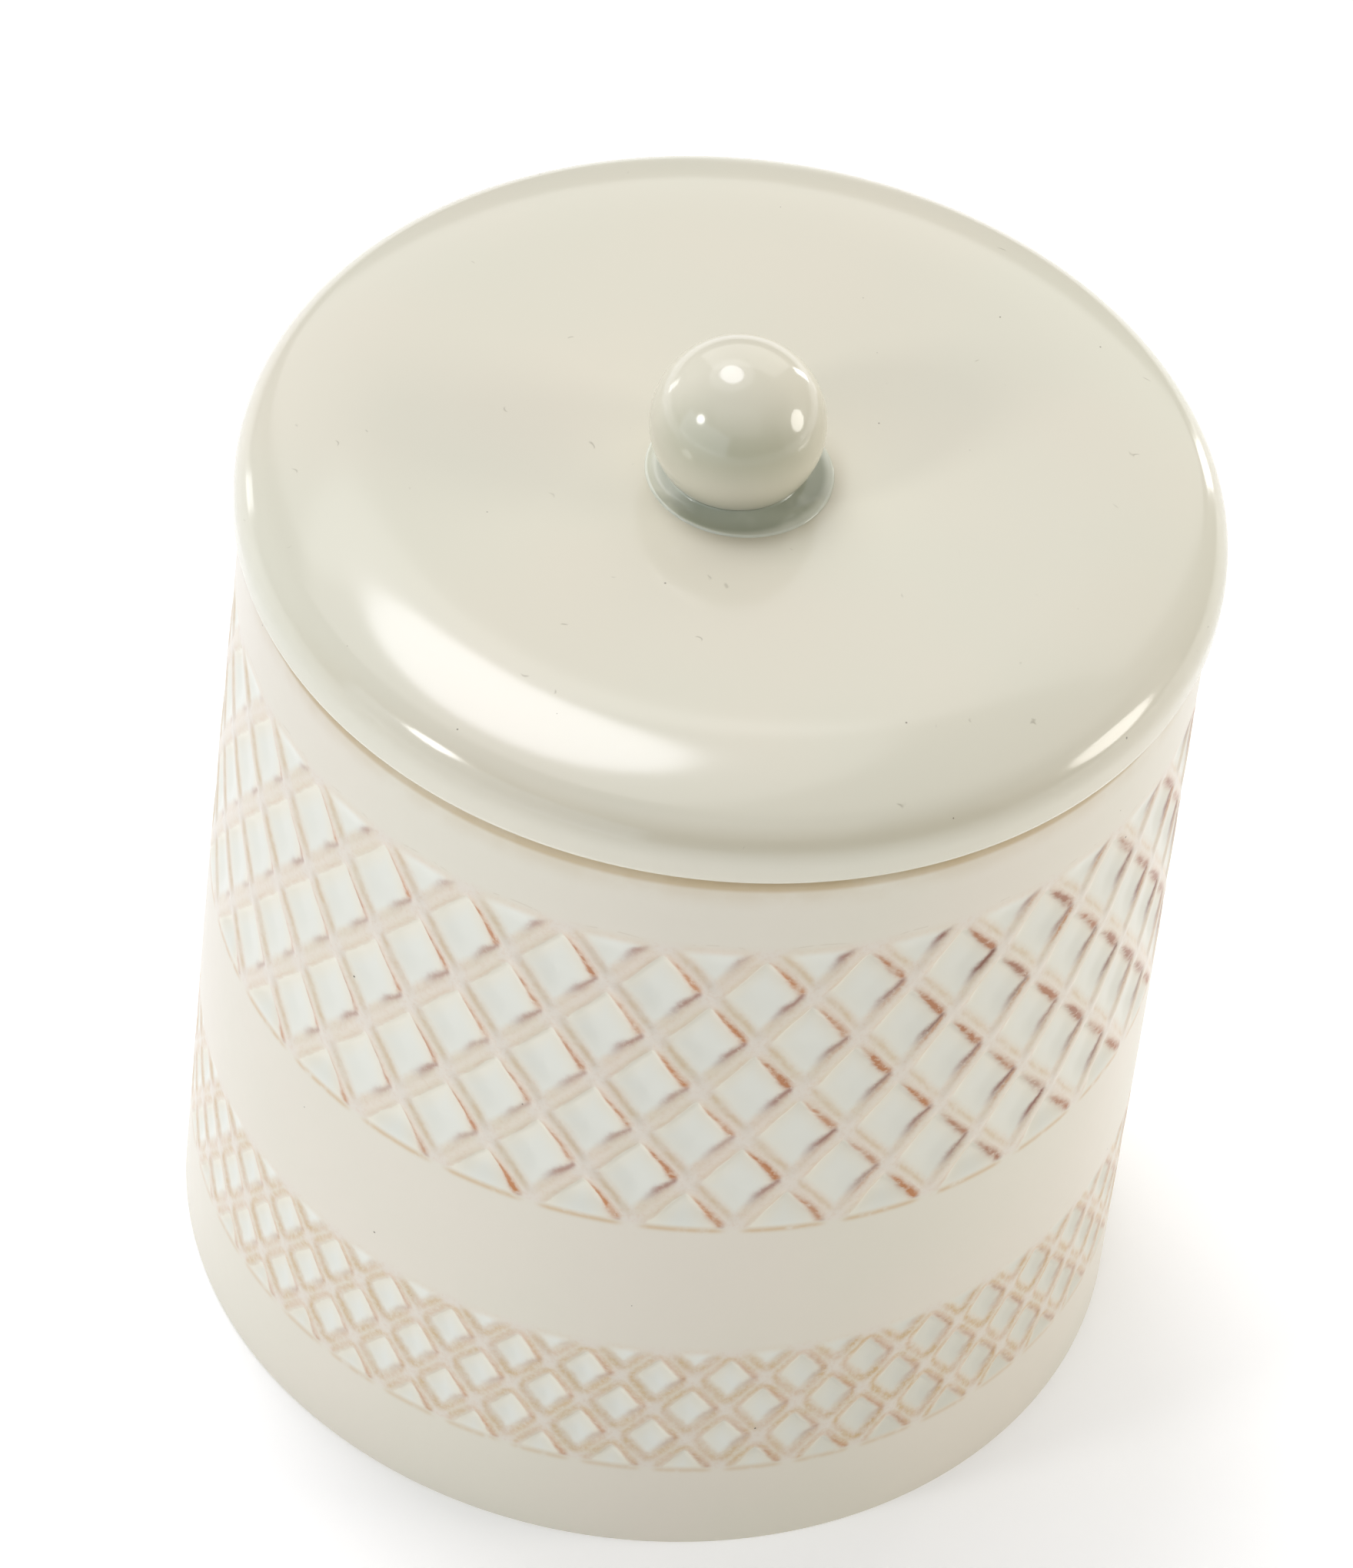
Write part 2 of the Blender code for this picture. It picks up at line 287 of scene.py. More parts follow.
def spread(points, longest):
    """The same outline with points added so that no stretch is longer than this."""
    made = [points[0]]
    for (r0, z0), (r1, z1) in zip(points, points[1:]):
        steps = max(1, math.ceil(math.hypot(r1 - r0, z1 - z0) / longest))
        for step in range(1, steps + 1):
            share = step / steps
            made.append((r0 + (r1 - r0) * share, z0 + (z1 - z0) * share))
    return made


def make_jar():
    floor_height = FOOT_RECESS_DEPTH + FLOOR_THICKNESS
    ring_inner = FOOT_RADIUS - FOOT_RING_WIDTH
    inside = filleted(
        [
            (0, floor_height, 0),
            (float(wall_radius(floor_height)) - WALL_THICKNESS, floor_height, FLOOR_FILLET),
            (MOUTH_RADIUS - WALL_THICKNESS, JAR_TOP, RIM_FILLET),
            (MOUTH_RADIUS, JAR_TOP, RIM_FILLET),
            (float(wall_radius(JAR_TOP - RIM_FILLET)), 0, 0),
        ]
    )[:-1]
    foot = filleted(
        [
            (float(wall_radius(FOOT_CORNER)), FOOT_CORNER, 0),
            (FOOT_RADIUS, 0, FOOT_CORNER / 2),
            (ring_inner, 0, FOOT_RING_FILLET),
            (ring_inner - FOOT_RECESS_RUN, FOOT_RECESS_DEPTH, FOOT_RING_FILLET),
            (0, FOOT_RECESS_DEPTH, 0),
        ]
    )[1:]
    inside = spread(inside, JAR_POINT_GAP)
    foot = spread(foot, JAR_POINT_GAP)
    rows = wall_rows()[1:]
    angles = angles_round(COLUMN_STEPS, UPPER.turn)
    angle, height = np.meshgrid(angles, rows)
    depth = np.zeros_like(angle)
    for band in (UPPER, LOWER):
        within = (rows <= band.top) & (rows >= band.top - band.height)
        depth[within] = relief(band, angle[within], height[within])
    inside_radii, inside_heights = turned(inside, COLUMN_STEPS)
    foot_radii, foot_heights = turned(foot, COLUMN_STEPS)
    radii = np.concatenate([inside_radii, wall_radius(height) - depth, foot_radii])
    heights = np.concatenate([inside_heights, height, foot_heights])
    slants = split_ways(radii.shape[0], len(inside), angles, rows)
    return ring_mesh("jar", radii, heights, angles, slants)


def split_ways(ring_count, first_row, angles, rows):
    """Which patches are split up to the right: those whose nearest rib rises to the right."""
    slants = np.zeros((ring_count - 3, len(angles)), bool)
    middle_angles = angles + math.pi / len(angles)
    for row in range(len(rows) - 1):
        middle = (rows[row] + rows[row + 1]) / 2
        for band in (UPPER, LOWER):
            if band.top - band.height < middle < band.top:
                across = (middle_angles - band.turn) * (band.columns / math.pi)
                down = (band.top - middle) * (band.half_rows / band.height)
                rising = (across + down) / 2
                falling = (across - down) / 2
                near_rising = np.abs(rising - np.round(rising))
                near_falling = np.abs(falling - np.round(falling))
                slants[first_row + row - 1] = near_rising < near_falling
    return slants


def lid_levels():
    """Heights and radii where the lid's outline changes."""
    seat = JAR_TOP + SEAT_GAP
    edge_height = seat + LIP_RADIUS + EDGE_BAND_HEIGHT
    edge_radius = LID_RADIUS - EDGE_RADIUS
    reach = ROLL_RADIUS - EDGE_RADIUS
    crest_radius = edge_radius - reach * math.sin(ROLL_ANGLE)
    crest_height = edge_height + ROLL_RADIUS - reach * math.cos(ROLL_ANGLE)
    return seat, edge_radius, edge_height, crest_radius, crest_height


SEAT_HEIGHT, EDGE_CENTRE_RADIUS, EDGE_CENTRE_HEIGHT, CREST_RADIUS, CREST_HEIGHT = lid_levels()
LID_CENTRE_HEIGHT = CREST_HEIGHT - DISH_DEPTH


def make_lid():
    shares = np.linspace(0, 1, DISH_STEPS, endpoint=False)
    dish = [(CREST_RADIUS * s, CREST_HEIGHT - DISH_DEPTH * (1 + math.cos(math.pi * s)) / 2) for s in shares]
    roll = arc((CREST_RADIUS, CREST_HEIGHT - ROLL_RADIUS), ROLL_RADIUS, math.pi / 2, math.pi / 2 - ROLL_ANGLE)
    edge = arc((EDGE_CENTRE_RADIUS, EDGE_CENTRE_HEIGHT), EDGE_RADIUS, math.pi / 2 - ROLL_ANGLE, 0)
    lip = arc((LID_RADIUS - LIP_RADIUS, SEAT_HEIGHT + LIP_RADIUS), LIP_RADIUS, 0, -math.pi / 2)
    flange_outer = MOUTH_RADIUS - WALL_THICKNESS - FLANGE_CLEARANCE
    flange_inner = flange_outer - FLANGE_THICKNESS
    flange_foot = SEAT_HEIGHT - FLANGE_DEPTH
    ceiling = LID_CENTRE_HEIGHT - LID_PLATE_THICKNESS
    underside = filleted(
        [
            (LID_RADIUS - LIP_RADIUS, SEAT_HEIGHT, 0),
            (flange_outer, SEAT_HEIGHT, FLANGE_FILLET / 2),
            (flange_outer, flange_foot, FLANGE_FILLET),
            (flange_inner, flange_foot, FLANGE_FILLET),
            (flange_inner, ceiling, FLANGE_FILLET),
            (0, ceiling, 0),
        ]
    )
    points = spread([*dish, *roll, *edge[1:], *lip, *underside[1:]], LID_POINT_GAP)
    return ring_mesh("lid_shell", *turned(points, LID_STEPS), angles_round(LID_STEPS))


def make_knob():
    """The ball, and the glaze that has pooled round its foot in a hollow curve with a fine raised lip."""
    ball = arc((0, BALL_RISE), BALL_RADIUS, math.pi / 2, -BALL_LOWER_ANGLE)
    lip_top = GLAZE_RING_HEIGHT + GLAZE_RING_LIP
    pool = []
    for share in np.linspace(0, 1, GLAZE_RING_STEPS):
        radius = NECK_RADIUS + (GLAZE_RING_RADIUS - NECK_RADIUS) * share
        hollow = GLAZE_RING_DIP * math.sin(math.pi * share)
        pool.append((radius, lip_top + (NECK_RISE - lip_top) * (1 - share) ** 2 - hollow))
    lip = arc((GLAZE_RING_RADIUS, GLAZE_RING_HEIGHT), GLAZE_RING_LIP, math.pi / 2, 0)
    foot = [(GLAZE_RING_RADIUS + GLAZE_RING_LIP, -KNOB_SINK), (0, -KNOB_SINK)]
    points = spread([*ball, *pool, *lip[1:], *foot], KNOB_POINT_GAP)
    angles = angles_round(KNOB_STEPS)
    radii, rises = turned(points, KNOB_STEPS)
    outward = np.clip((radii - NECK_RADIUS) / (GLAZE_RING_RADIUS - NECK_RADIUS), 0, 1) * (rises < NECK_RISE)
    radii = radii + GLAZE_RING_SHIFT * outward * np.cos(angles - GLAZE_RING_TOWARD)
    knob = ring_mesh("knob", radii, LID_CENTRE_HEIGHT + rises, angles)
    knob.data.transform(Matrix.Translation((-KNOB_LEFT, -KNOB_FORWARD, 0)))
    return knob


def sunlit(red, green, blue):
    """A colour given as 0 to 255 screen values, in the renderer's linear light."""
    shares = [value / 255 for value in (red, green, blue)]
    linear = [s / 12.92 if s <= 0.04045 else ((s + 0.055) / 1.055) ** 2.4 for s in shares]
    return (*linear, 1)


class Field:
    """A number or a colour that varies over a surface. Sums of fields become Math nodes."""

    def __init__(self, tree, socket):
        self.tree = tree
        self.socket = socket

    def math(self, operation, *others):
        node = self.tree.nodes.new("ShaderNodeMath")
        node.operation = operation
        for socket, term in zip(node.inputs, (self, *others)):
            plug(self.tree, term, socket)
        return Field(self.tree, node.outputs[0])

    def __add__(self, other):
        return self.math("ADD", other)

    def __mul__(self, other):
        return self.math("MULTIPLY", other)

    def __sub__(self, other):
        return self.math("SUBTRACT", other)

    def __truediv__(self, other):
        return self.math("DIVIDE", other)

    __radd__ = __add__
    __rmul__ = __mul__

    def __rsub__(self, other):
        return self * -1 + other

    def __neg__(self):
        return self * -1

    def least(self, other):
        return self.math("MINIMUM", other)

    def most(self, other):
        return self.math("MAXIMUM", other)

    def cosine(self):
        return self.math("COSINE")

    def floor(self):
        return self.math("FLOOR")

    def rise(self, low, high):
        """0 below low, 1 above high, and a smooth rise between. With low above high it falls."""
        node = self.tree.nodes.new("ShaderNodeMapRange")
        node.interpolation_type = "SMOOTHSTEP"
        for name, term in (("Value", self), ("From Min", low), ("From Max", high)):
            plug(self.tree, term, node.inputs[name])
        return Field(self.tree, node.outputs["Result"])

    def bell(self, centre, width):
        """1 at centre, falling off on both sides over about this width."""
        offset = (self - centre) / width
        return (offset * offset * -1).math("EXPONENT")


def plug(tree, term, socket):
    if isinstance(term, Field):
        tree.links.new(term.socket, socket)
    else:
        socket.default_value = term


class Finish:
    """A glazed finish under construction: its material, its shader, and where a point lies on the object."""

    def __init__(self, name):
        self.material = bpy.data.materials.new(name)
        self.material.use_nodes = True
        self.tree = self.material.node_tree
        self.shader = self.tree.nodes["Principled BSDF"]
        coordinates = self.tree.nodes.new("ShaderNodeTexCoord")
        self.point = Field(self.tree, coordinates.outputs["Object"])
        split = self.tree.nodes.new("ShaderNodeSeparateXYZ")
        plug(self.tree, self.point, split.inputs[0])
        self.x, self.y, self.z = (Field(self.tree, output) for output in split.outputs)
        self.radius = (self.x * self.x + self.y * self.y).math("SQRT")
        self.angle = self.x.math("ARCTAN2", -self.y)

    def steps(self, size, offset):
        """The point counted in steps of this size, from a start moved by this offset."""
        moved = self.tree.nodes.new("ShaderNodeVectorMath")
        moved.operation = "MULTIPLY_ADD"
        plug(self.tree, self.point, moved.inputs[0])
        moved.inputs[1].default_value = (1 / size,) * 3
        moved.inputs[2].default_value = (offset,) * 3
        return Field(self.tree, moved.outputs[0])

    def grain(self, size, detail=2.0, roughness=0.5, offset=0.0):
        """Noise from 0 to 1 with features of this size."""
        noise = self.tree.nodes.new("ShaderNodeTexNoise")
        plug(self.tree, self.steps(size, offset), noise.inputs["Vector"])
        noise.inputs["Scale"].default_value = 1
        noise.inputs["Detail"].default_value = detail
        noise.inputs["Roughness"].default_value = roughness
        return Field(self.tree, noise.outputs[0])

    def specks(self, spacing, radius, share, offset=0.0):
        """1 in small round spots, one to each cell of this spacing but only in this share of the cells."""
        cells = self.tree.nodes.new("ShaderNodeTexVoronoi")
        plug(self.tree, self.steps(spacing, offset), cells.inputs["Vector"])
        cells.inputs["Scale"].default_value = 1
        split = self.tree.nodes.new("ShaderNodeSeparateColor")
        self.tree.links.new(cells.outputs["Color"], split.inputs[0])
        chance = Field(self.tree, split.outputs[0])
        size = Field(self.tree, split.outputs[1]) * (radius / spacing) + 0.3 * radius / spacing
        distance = Field(self.tree, cells.outputs["Distance"])
        return distance.rise(size, size * 0.4) * chance.rise(share, share * 0.99)

    def chance(self, *terms):
        """A random number from 0 to 1 that belongs to these whole numbers."""
        joined = self.tree.nodes.new("ShaderNodeCombineXYZ")
        for socket, term in zip(joined.inputs, terms):
            plug(self.tree, term, socket)
        noise = self.tree.nodes.new("ShaderNodeTexWhiteNoise")
        self.tree.links.new(joined.outputs[0], noise.inputs["Vector"])
        return Field(self.tree, noise.outputs["Value"])

    def mix(self, share, first, second):
        """The first colour, with this share of the second."""
        node = self.tree.nodes.new("ShaderNodeMix")
        node.data_type = "RGBA"
        inputs = {socket.identifier: socket for socket in node.inputs}
        outputs = {socket.identifier: socket for socket in node.outputs}
        plug(self.tree, share, inputs["Factor_Float"])
        plug(self.tree, first, inputs["A_Color"])
        plug(self.tree, second, inputs["B_Color"])
        return Field(self.tree, outputs["Result_Color"])

    def bump(self, height, depth):
        """Raises the surface by up to depth where height, from 0 to 1, is high."""
        node = self.tree.nodes.new("ShaderNodeBump")
        node.inputs["Strength"].default_value = 1
        node.inputs["Distance"].default_value = depth
        plug(self.tree, height, node.inputs["Height"])
        self.tree.links.new(node.outputs["Normal"], self.shader.inputs["Normal"])

    def colour(self, field):
        plug(self.tree, field, self.shader.inputs["Base Color"])

    def set(self, **values):
        for name, value in values.items():
            plug(self.tree, value, self.shader.inputs[name.replace("_", " ")])


# Colours of the jar's glaze, clay and stains, some of them with painted light and shade in them
PLAIN_GLAZE = sunlit(215, 209, 192)
PLAIN_GLAZE_PINK = sunlit(217, 209, 193)
RIB_CLAY = sunlit(213, 202, 180)
RIB_CLAY_PINK = sunlit(216, 202, 183)
RIB_CROSSING = sunlit(216, 207, 193)
RIB_PAINTED_HIGHLIGHT = sunlit(222, 211, 197)
POOL = sunlit(220, 219, 207)
POOL_DULL = sunlit(207, 204, 189)
POOL_WHITE = sunlit(222, 222, 212)
POOL_CREAM_AND_LIT = sunlit(224, 218, 200)
OCHRE = sunlit(200, 172, 130)
TAN = sunlit(205, 178, 150)
RUST = sunlit(184, 118, 60)
RUST_BROWN = sunlit(156, 104, 74)
RUST_HALO = sunlit(206, 176, 150)
MAUVE = sunlit(152, 104, 88)
MAUVE_TAIL = sunlit(170, 158, 156)
UMBER = sunlit(122, 76, 54)
RIM_STAIN_AND_SHADE = sunlit(180, 152, 100)
SPECK = sunlit(92, 82, 68)
HAIRLINE = sunlit(160, 138, 100)

# Colours of the lid's and the knob's glaze and marks, with painted shade and shadow among them, and of the
# glaze pooled round the knob, whose pale tone is partly painted light and whose darker tone is partly painted
# shade
LID_GLAZE = sunlit(216, 210, 192)
LID_GLAZE_COOL = sunlit(213, 210, 192)
LID_PAINTED_SHADE = sunlit(184, 172, 142)
KNOB_GLAZE = sunlit(217, 212, 193)
KNOB_PAINTED_SHADE = sunlit(188, 186, 162)
CELADON_AND_SHADE = sunlit(168, 172, 153)
CELADON_PALE_AND_LIT = sunlit(222, 223, 208)
HAIR = sunlit(150, 142, 122)
KNOB_PAINTED_SHADOW = sunlit(172, 162, 136)

# How glaze and stain lie along the sides of a cell, in metres from a rib's middle. The upper sides are
# crisp and the lower sides soft: where pooled glaze starts there and where it is full, and how much its
# corners are rounded. Then the line of rust on the upper right, the wedge of mauve on the lower right, the
# ochre line on the lower left, the thin tan one on the upper left and the halo all round: how far each lies
# from the rib's middle, how wide it is and how strong. The rest are shares: the painted highlight along a
# rib's middle, the hairline above the top cells, how far the ribs keep the plain glaze, how brown the mauve
# is at the right, how white the pools are, and the stain below the bottom cells
Line = namedtuple("Line", "middle width strength")
LOOKS_LINES = "rust mauve ochre tan halo"
LOOKS_SHARES = "middle hairline plain umber white border"
Looks = namedtuple("Looks", f"crisp soft_left soft_right corner {LOOKS_LINES} {LOOKS_SHARES}")
UPPER_LOOKS = Looks(
    crisp=(0.00092, 0.00128),
    soft_left=(0.00070, 0.00195),
    soft_right=(0.00090, 0.00200),
    corner=0.0005,
    rust=Line(0.00088, 0.00044, 1.0),
    mauve=Line(0.00102, 0.00030, 0.80),
    ochre=Line(0.00072, 0.00024, 0.45),
    tan=Line(0.00080, 0.00016, 0.40),
    halo=Line(0.00060, 0.00035, 0.10),
    middle=0.30,
    hairline=0.18,
    plain=0.0,
    umber=1.0,
    white=0.0,
    border=0.75,
)
LOWER_LOOKS = Looks(
    crisp=(0.00108, 0.00142),
    soft_left=(0.00100, 0.00180),
    soft_right=(0.00105, 0.00190),
    corner=0.0009,
    rust=Line(0.00088, 0.00026, 0.42),
    mauve=Line(0.00098, 0.00026, 0.30),
    ochre=Line(0.00075, 0.00026, 0.30),
    tan=Line(0.00080, 0.00018, 0.30),
    halo=Line(0.00054, 0.00050, 0.72),
    middle=0.0,
    hairline=0.0,
    plain=0.45,
    umber=0.25,
    white=1.0,
    border=0.45,
)

# How the colours' edges stray from the pressed ribs, in a slow wander and a fine fray: sizes and reaches
WANDER_SIZE = 0.0028
WANDER_REACH = 0.0005
FRAY_SIZE = 0.0007
FRAY_REACH = 0.00032

# Where the band, its pools and its stains start, in metres in from the band's top and bottom, then how far
# the rounding of a cell's corners and a crossing reach
BAND_TOP_EDGE = (-0.0009, 0.0009)
BAND_BOTTOM_EDGE = (-0.0004, 0.0004)
POOL_TOP_EDGE = (0.0, 0.0016)
POOL_BOTTOM_EDGE = (-0.0002, 0.0005)
STAIN_TOP_EDGE = (0.0002, 0.0018)
STAIN_BOTTOM_EDGE = (-0.0002, 0.0004)
CORNER_REACH = 0.0010
CROSSING_REACH = (0.0024, 0.0008)

# Directions round the jar, in radians from the front, in which the glaze is dullest, the ribs are plain, the
# stains are strongest and the rust is brownest
RIGHT_DIRECTION = 0.95
LEFT_DIRECTION = -1.0
WEATHERED_DIRECTION = 0.6
BROWN_DIRECTION = 1.1

# Sizes of the mottling of the stains, of their patches and of the blotches in the rust
MOTTLE_SIZE = 0.00055
PATCH_SIZE = 0.0022
BLOTCH_SIZE = 0.0013


class Cells:
    """One band's lattice as fields: which cell a point is in, its place there and how far off the ribs are.

    low runs from -0.5 at the upper left side to 0.5 at the lower right one, and high from -0.5 at the lower
    left side to 0.5 at the upper right one. right and left are 1 towards those sides of the jar, and
    weathered is 1 where the stains are strongest.
    """

    def __init__(self, finish, band, looks):
        self.finish = finish
        self.band = band
        self.looks = looks
        rising, falling = lattice_place(band, finish.angle, finish.z, Field.cosine)
        rising_cell, falling_cell = rising.floor(), falling.floor()
        self.low = rising - rising_cell - 0.5
        self.high = falling - falling_cell - 0.5
        self.column = rising_cell.math("FLOORED_MODULO", band.columns)
        self.row = rising_cell - falling_cell
        self.from_top = band.top - finish.z
        self.from_bottom = finish.z - (band.top - band.height)
        pitch = rib_pitch(band)
        wander = (finish.grain(WANDER_SIZE, detail=2) - 0.5) * WANDER_REACH
        fray = (finish.grain(FRAY_SIZE, detail=3, roughness=0.7) - 0.5) * FRAY_REACH
        stray = wander + fray
        self.upper_left = (self.low + 0.5) * pitch + stray
        self.lower_right = (0.5 - self.low) * pitch + stray
        self.lower_left = (self.high + 0.5) * pitch - stray
        self.upper_right = (0.5 - self.high) * pitch - stray
        self.lowness = self.low - self.high
        self.right = (finish.angle - RIGHT_DIRECTION).cosine().rise(0.70, 1.0)
        self.left = (finish.angle - LEFT_DIRECTION).cosine().rise(0.40, 0.95)
        self.weathered = ((finish.angle - WEATHERED_DIRECTION).cosine() * 0.5 + 0.5).rise(0.0, 0.95)
        self.mottle = finish.grain(MOTTLE_SIZE, detail=3, roughness=0.7)
        self.patchy = finish.grain(PATCH_SIZE, detail=2, offset=3.0)
        self.framed = self.from_top.rise(*STAIN_TOP_EDGE) * self.from_bottom.rise(*STAIN_BOTTOM_EDGE)

    def lot(self, number):
        """A random number from 0 to 1 for each cell."""
        return self.finish.chance(self.column, self.row, self.band.columns + number)

    def nearest(self):
        """Distance to the nearest rib's middle."""
        return self.upper_left.least(self.lower_left).least(self.upper_right.least(self.lower_right))

    def ring(self):
        """Distance to the nearest rib's middle, rounded off at the corners of the cell."""
        reach = self.looks.corner + CORNER_REACH
        rising = (reach - self.upper_left.least(self.lower_right)).most(0)
        falling = (reach - self.lower_left.least(self.upper_right)).most(0)
        return reach - (rising * rising + falling * falling).math("SQRT")

    def crossing(self):
        """1 where two ribs cross."""
        rising = self.upper_left.least(self.lower_right)
        falling = self.lower_left.least(self.upper_right)
        return rising.most(falling).rise(*CROSSING_REACH)

    def inside(self):
        """1 between the band's edges."""
        return self.from_top.rise(*BAND_TOP_EDGE) * self.from_bottom.rise(*BAND_BOTTOM_EDGE)

    def pooled(self):
        """1 where glaze has pooled in a cell."""
        looks = self.looks
        upper = self.upper_left.rise(*looks.crisp) * self.upper_right.rise(*looks.crisp)
        lower = self.lower_left.rise(*looks.soft_left) * self.lower_right.rise(*looks.soft_right)
        sides = upper * lower * self.ring().rise(*looks.crisp)
        return sides * self.from_top.rise(*POOL_TOP_EDGE) * self.from_bottom.rise(*POOL_BOTTOM_EDGE)


# The clay on the ribs, the painted highlight along their middle and the creamy edge of the pools, partly
# painted
# light: sizes of their unevenness, and how far each reaches
CLAY_CLOUD_SIZE = 0.011
CLAY_GRAIN_SIZE = 0.0006
RIB_HIGHLIGHT_REACH = (0.0006, 0.0001)
CREAM_REACH = (0.0038, 0.0010)
CREAM_LEFT_EXTRA = 0.0006


def lattice_glaze(cells):
    """Glaze that breaks to clay colour on the ribs, with a painted highlight along their middle, and pools in
    the cells, creamy near the ribs above, partly as painted light.
    """
    finish, looks = cells.finish, cells.looks
    clay = finish.mix(finish.grain(CLAY_CLOUD_SIZE, detail=3).rise(0.35, 0.65), RIB_CLAY, RIB_CLAY_PINK)
    clay = finish.mix(cells.right * 0.45 + cells.left * 0.25 + looks.plain, clay, PLAIN_GLAZE)
    # A painted highlight along the middle of each rib
    clay = finish.mix(cells.nearest().rise(*RIB_HIGHLIGHT_REACH) * looks.middle, clay, RIB_PAINTED_HIGHLIGHT)
    rib = finish.mix(cells.crossing() * 0.85, clay, RIB_CROSSING)
    rib = finish.mix(finish.grain(CLAY_GRAIN_SIZE, detail=4, roughness=0.7).rise(0.45, 0.72) * 0.30, rib, TAN)
    # Pools turn creamy towards the ribs above them: partly the glaze's warmer tone, partly painted light
    upper = cells.upper_left.least(cells.upper_right).least(cells.lower_left + CREAM_LEFT_EXTRA)
    cream = upper.rise(*CREAM_REACH) * cells.lowness.rise(0.75, 0.0)
    pool = finish.mix(cream, POOL_WHITE if looks.white else POOL, POOL_CREAM_AND_LIT)
    pool = finish.mix(cells.right * (looks.white * 0.45 + 0.35), pool, POOL_DULL)
    return finish.mix(cells.pooled(), rib, pool)


def stain_line(distance, line, widening=1.0):
    """A soft line at this distance from a rib's middle."""
    return distance.bell(line.middle, line.width * widening) * line.strength


def halo_stained(cells, glaze):
    """The glaze with a patchy halo of tan and ochre round the cells."""
    halo = stain_line(cells.ring(), cells.looks.halo) * cells.framed * (cells.patchy * 0.9 + 0.45)
    halo = halo * (cells.mottle.rise(0.30, 0.62) * 0.7 + 0.4) * (cells.right * 0.3 + 1)
    return cells.finish.mix(halo, glaze, cells.finish.mix(cells.patchy.rise(0.4, 0.6), TAN, OCHRE))


def left_stained(cells, glaze):
    """The glaze with the broken ochre and tan lines on the cells' left sides."""
    low_run = cells.low.rise(-0.46, -0.28) * cells.low.rise(0.44, 0.20)
    ochre = stain_line(cells.lower_left, cells.looks.ochre) * low_run * cells.patchy.rise(0.30, 0.62)
    glaze = cells.finish.mix(ochre * (cells.mottle * 0.8 + 0.6) * cells.framed, glaze, OCHRE)
    high_run = cells.high.rise(-0.46, -0.30) * cells.high.rise(0.40, 0.10)
    tan = stain_line(cells.upper_left, cells.looks.tan) * high_run * cells.patchy.rise(0.65, 0.35)
    return cells.finish.mix(tan * cells.framed, glaze, TAN)


# How much nearer to the rib's middle the pale halo of the rust lies
RUST_HALO_SHIFT = 0.0001


def rusted(cells, glaze):
    """The glaze with blotchy rust on the cells' upper right sides, growing along each side."""
    finish, line = cells.finish, cells.looks.rust
    strength = (cells.lot(1) * 0.5 + 0.5) * (cells.weathered * 0.82 + 0.18) * cells.framed
    run = cells.low.rise(-0.42, -0.05) * cells.low.rise(0.42, 0.30)
    halo = cells.upper_right.bell(line.middle - RUST_HALO_SHIFT, line.width * 1.9) * 0.4
    glaze = finish.mix(halo * run * strength, glaze, RUST_HALO)
    thicken = cells.low.rise(-0.45, 0.30) * (cells.weathered * 0.45 + 0.2) + 0.55
    blotches = finish.grain(BLOTCH_SIZE, detail=2, offset=11.0).rise(0.32, 0.58)
    rust = stain_line(cells.upper_right, line, thicken) * run
    rust = rust * cells.mottle.rise(0.16, 0.50) * (blotches * 0.8 + 0.6)
    brown = cells.lot(3) * 0.5 + (finish.angle - BROWN_DIRECTION).cosine().rise(0.80, 1.0) * 0.6
    return finish.mix((rust * strength).least(1.0), glaze, finish.mix(brown, RUST, RUST_BROWN))


# How far the mauve wedge moves out and widens along its side, and the line of rust beside it
MAUVE_SPREAD = 0.0003
MAUVE_WIDENING = 0.00022
RUST_LINE_SHIFT = 0.00032
RUST_LINE_WIDTH = 0.00020


def mauve_stained(cells, glaze):
    """The glaze with mauve wedges on the cells' lower right sides, edged with rust at the jar's right."""
    finish, looks = cells.finish, cells.looks
    reach = cells.weathered
    run = cells.high.rise(0.10 - 0.36 * reach, 0.34 - 0.20 * reach) * cells.high.rise(0.46, 0.37)
    widen = cells.high.rise(0.40, 0.0)
    distance = cells.lower_right - widen * MAUVE_SPREAD
    wedge = distance.bell(looks.mauve.middle, widen * MAUVE_WIDENING + looks.mauve.width)
    mauve = wedge * run * cells.mottle.rise(0.00, 0.52) * looks.mauve.strength
    strength = (cells.lot(2) * 0.45 + 0.55) * (reach * 0.55 + 0.45) * cells.framed
    tint = finish.mix(cells.right * looks.umber * (cells.lot(4) * 0.6 + 0.4), MAUVE, UMBER)
    tint = finish.mix(cells.high.rise(0.16, -0.16) * (1 - cells.right * 0.4), tint, MAUVE_TAIL)
    glaze = finish.mix((mauve * strength * (cells.right * 0.5 * looks.umber + 1)).least(1.0), glaze, tint)
    edge = cells.lower_right.bell(looks.mauve.middle - RUST_LINE_SHIFT, RUST_LINE_WIDTH) * run
    edge = edge * cells.right * cells.lot(5) * looks.umber
    return finish.mix(edge * cells.framed * cells.mottle.rise(0.25, 0.60) * 0.8, glaze, RUST)


# The hairline above the top cells and the stain below the bottom ones: how far from the band's edge, how
# bowed and how wide
HAIRLINE_RISE = 0.00055
HAIRLINE_BOW = 0.0010
HAIRLINE_WIDTH = 0.00009
UNDER_STAIN_DROP = 0.00035
UNDER_STAIN_WIDTH = 0.00036
BORDER_PATCH_SIZE = 0.0016


def from_middle(place):
    """0 at the middle of each whole step of place, growing to 1 at its ends."""
    return (place - place.floor() - 0.5).math("ABSOLUTE") * 2


